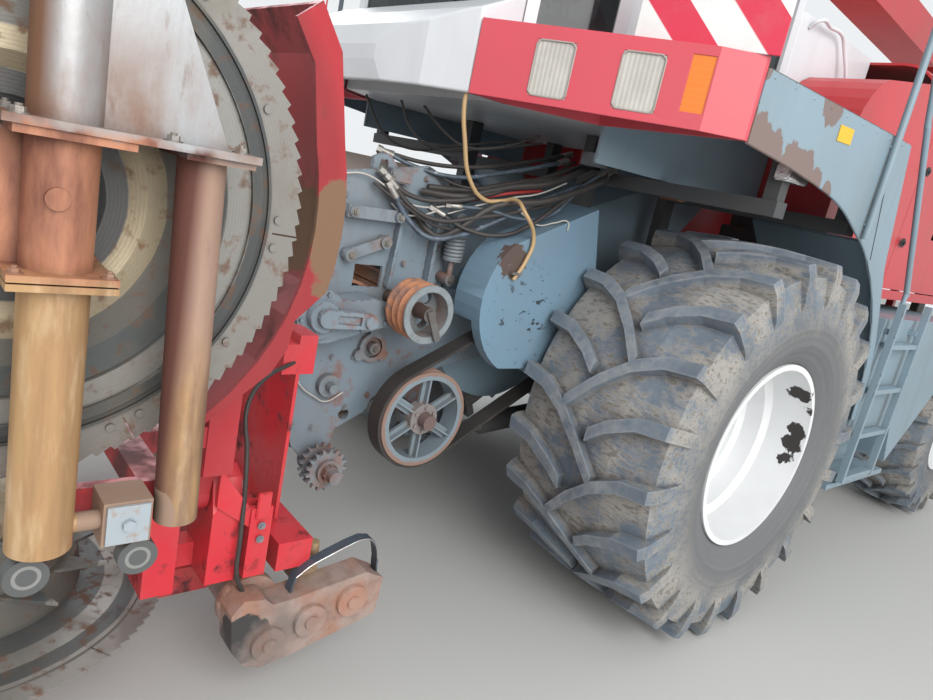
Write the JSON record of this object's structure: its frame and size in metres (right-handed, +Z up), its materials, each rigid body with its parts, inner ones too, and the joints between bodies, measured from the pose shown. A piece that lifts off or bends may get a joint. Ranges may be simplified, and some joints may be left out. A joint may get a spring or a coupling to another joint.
{
  "type": "forage harvester",
  "caption": "Self-propelled forage harvester with a cab, drive and steered wheels, a swinging crop spout, a lifting feeder and a rotary header whose wings fold upright.",
  "frame": {"origin": "on the ground midway between the drive wheels, below the front axle", "axes": "+X to the machine's left, +Y towards its rear, +Z up; it drives towards -Y"},
  "size_m": [3.12, 7.8835, 3.948],
  "materials": {
    "frame_dark": "dull dark paint with dirt",
    "grey_paint": "blue-grey paint, chipped to primer and rust at the edges",
    "red_paint": "red paint, worn through where crop rubs",
    "white_paint": "white paint with dirt and chips",
    "tyre_rubber": "black rubber, grey-tan mud between the lugs",
    "hose_rubber": "black rubber",
    "glass": "tinted cab glass",
    "interior_plastic": "dark grained plastic",
    "lamp_lens": "ribbed clear lens over a reflector",
    "amber_lens": "ribbed amber lens",
    "board_sheet": "white sheet with red slanting stripes",
    "engine_iron": "oily cast iron",
    "worn_steel": "bare steel polished by crop, stained",
    "rusty_steel": "steel with orange-brown rust"
  },
  "bodies": {
    "machine": {"frame": "frame_dark", "axles": "grey_paint", "engine": "engine_iron", "body_panels": "red_paint", "rear_cabinet": "white_paint", "tanks": "grey_paint", "cab_shell": "white_paint", "cab_roof": "white_paint", "cab_glass": "glass", "cab_interior": "interior_plastic", "cowl": "white_paint", "light_bar": "red_paint", "lamps": "lamp_lens", "amber_lamps": "amber_lens", "platform": "grey_paint", "ladder": "frame_dark", "railing": "frame_dark", "marker_boards": "board_sheet", "chopper": "grey_paint", "drive_guard": "grey_paint", "upper_pulley": "rusty_steel", "hoses": "hose_rubber"},
    "feeder": {"feeder_housing": "grey_paint", "feed_rolls": "rusty_steel", "feeder_gearcase": "grey_paint", "feeder_linkage": "worn_steel", "small_pulley": "rusty_steel", "big_pulley": "grey_paint", "drive_belt": "hose_rubber", "header_frame": "red_paint", "header_drive": "rusty_steel"},
    "wheel_front_left": {"rim_front_left": "white_paint", "tyre_front_left": "tyre_rubber"},
    "wheel_front_right": {"rim_front_right": "white_paint", "tyre_front_right": "tyre_rubber"},
    "steer_left": {"knuckle_left": "frame_dark"},
    "steer_right": {"knuckle_right": "frame_dark"},
    "wheel_rear_left": {"rim_rear_left": "white_paint", "tyre_rear_left": "tyre_rubber"},
    "wheel_rear_right": {"rim_rear_right": "white_paint", "tyre_rear_right": "tyre_rubber"},
    "door": {"cab_door": "white_paint", "door_glass": "glass"},
    "panel_left": {"side_door_left": "red_paint"},
    "panel_right": {"side_door_right": "red_paint"},
    "sprocket": {"header_sprocket": "worn_steel"},
    "barrels": {"lift_barrels": "frame_dark"},
    "rods": {"lift_rods": "worn_steel"},
    "header_wing_left": {"wing_left": "red_paint", "wing_pipes_left": "rusty_steel"},
    "header_wing_right": {"wing_right": "red_paint", "wing_pipes_right": "rusty_steel"},
    "disc_inner_left": {"rotor_inner_left": "worn_steel"},
    "disc_inner_right": {"rotor_inner_right": "worn_steel"},
    "disc_outer_left": {"rotor_outer_left": "worn_steel"},
    "disc_outer_right": {"rotor_outer_right": "worn_steel"},
    "turret": {"spout_turret": "red_paint"},
    "spout": {"spout_arm": "red_paint"},
    "flap": {"spout_flap": "red_paint"}
  },
  "joints": [
    {"name": "front_left_roll", "type": "hinge", "parent": "machine", "child": "wheel_front_left", "pos_m": [1.17, 0, 0.895], "axis": [1, 0, 0], "continuous": true},
    {"name": "front_right_roll", "type": "hinge", "parent": "machine", "child": "wheel_front_right", "pos_m": [-1.17, 0, 0.895], "axis": [1, 0, 0], "continuous": true},
    {"name": "steer_left", "type": "hinge", "parent": "machine", "child": "steer_left", "pos_m": [0.9, 3.3, 0.7], "axis": [0, 0, 1], "range_deg": [-30, 30]},
    {"name": "steer_right", "type": "hinge", "parent": "machine", "child": "steer_right", "pos_m": [-0.9, 3.3, 0.7], "axis": [0, 0, 1], "range_deg": [-30, 30]},
    {"name": "rear_left_roll", "type": "hinge", "parent": "steer_left", "child": "wheel_rear_left", "pos_m": [1.19, 3.3, 0.7], "axis": [1, 0, 0], "continuous": true},
    {"name": "rear_right_roll", "type": "hinge", "parent": "steer_right", "child": "wheel_rear_right", "pos_m": [-1.19, 3.3, 0.7], "axis": [1, 0, 0], "continuous": true},
    {"name": "cab_door", "type": "hinge", "parent": "machine", "child": "door", "pos_m": [0.86, 0.123, 2.9], "axis": [0, 0, 1], "range_deg": [0, 70]},
    {"name": "side_door_left", "type": "hinge", "parent": "machine", "child": "panel_left", "pos_m": [1.26, 2.483, 2.1], "axis": [0, 0, 1], "range_deg": [0, 70]},
    {"name": "side_door_right", "type": "hinge", "parent": "machine", "child": "panel_right", "pos_m": [-1.26, 2.483, 2.1], "axis": [0, 0, -1], "range_deg": [0, 70]},
    {"name": "feeder_lift", "type": "hinge", "parent": "machine", "child": "feeder", "pos_m": [0, -0.64, 1.18], "axis": [1, 0, 0], "range_deg": [0, 3.5]},
    {"name": "lift_barrel_tilt", "type": "hinge", "parent": "machine", "child": "barrels", "pos_m": [0, -0.2, 0.763], "axis": [1, 0, 0], "range_deg": [-0.1, 3]},
    {"name": "lift_rod_stroke", "type": "slide", "parent": "barrels", "child": "rods", "axis": [0, -0.9952, -0.0974], "range_m": [-0.03, 0.001]},
    {"name": "header_sprocket", "type": "hinge", "parent": "feeder", "child": "sprocket", "pos_m": [0.5, -1.613, 0.585], "axis": [1, 0, 0], "continuous": true},
    {"name": "fold_left", "type": "hinge", "parent": "feeder", "child": "header_wing_left", "pos_m": [0.9, -2.2785, 0.76], "axis": [0, 1, 0], "range_deg": [0, 90]},
    {"name": "fold_right", "type": "hinge", "parent": "feeder", "child": "header_wing_right", "pos_m": [-0.9, -2.2785, 0.76], "axis": [0, -1, 0], "range_deg": [0, 90]},
    {"name": "rotor_inner_left", "type": "hinge", "parent": "feeder", "child": "disc_inner_left", "pos_m": [0.59, -2.82, 0.38], "axis": [0, 0, 1], "continuous": true},
    {"name": "rotor_inner_right", "type": "hinge", "parent": "feeder", "child": "disc_inner_right", "pos_m": [-0.59, -2.82, 0.38], "axis": [0, 0, -1], "continuous": true},
    {"name": "rotor_outer_left", "type": "hinge", "parent": "header_wing_left", "child": "disc_outer_left", "pos_m": [1.28, -2.82, 1.63], "axis": [1, 0, 0], "continuous": true},
    {"name": "rotor_outer_right", "type": "hinge", "parent": "header_wing_right", "child": "disc_outer_right", "pos_m": [-1.28, -2.82, 1.63], "axis": [-1, 0, 0], "continuous": true},
    {"name": "spout_swing", "type": "hinge", "parent": "machine", "child": "turret", "pos_m": [0, 0.96, 2.96], "axis": [0, 0, 1], "range_deg": [-100, 100]},
    {"name": "spout_raise", "type": "hinge", "parent": "turret", "child": "spout", "pos_m": [0, 0.79, 3.06], "axis": [1, 0, 0], "range_deg": [0, 18]},
    {"name": "spout_flap", "type": "hinge", "parent": "spout", "child": "flap", "pos_m": [0, 4.0165, 3.7274], "axis": [-1, 0, 0], "range_deg": [0, 35]}
  ],
  "couplings": [
    {"joint": "steer_right", "follows": "steer_left", "ratio": 1},
    {"joint": "lift_barrel_tilt", "follows": "feeder_lift", "ratio": 0.5702},
    {"joint": "lift_rod_stroke", "follows": "feeder_lift", "m_per_rad": -0.4579}
  ]
}
